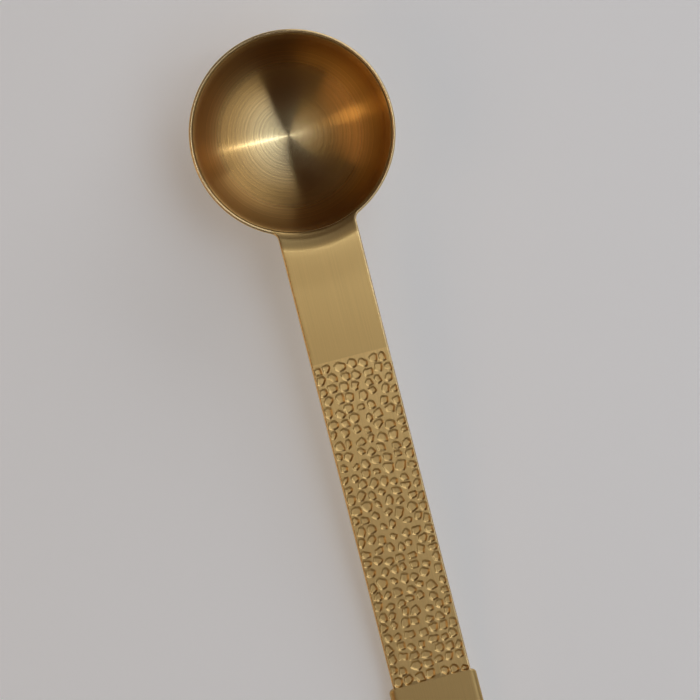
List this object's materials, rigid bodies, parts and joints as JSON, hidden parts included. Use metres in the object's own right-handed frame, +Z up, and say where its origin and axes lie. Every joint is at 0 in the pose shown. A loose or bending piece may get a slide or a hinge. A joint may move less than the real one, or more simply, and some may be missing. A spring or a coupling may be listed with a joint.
{
  "type": "coffee measuring spoon",
  "caption": "One-piece gold-coloured metal measuring spoon with a deep round brushed cup, a flat handle with a sunken pebble pattern and a plain rounded tail.",
  "frame": {"origin": "the point where the dished bottom of the cup touches the table, with the spoon lying as it comes to rest on the cup and the end of the handle", "axes": "+Z up, the handle runs along -Y and the cup's far rim lies towards +Y, +X to the right as seen from above with the cup at the top"},
  "size_m": [0.045, 0.1695, 0.0248],
  "materials": {
    "metal": "gold-coloured coating over brushed satin steel"
  },
  "bodies": {
    "root": {"spoon": "metal"}
  },
  "joints": []
}
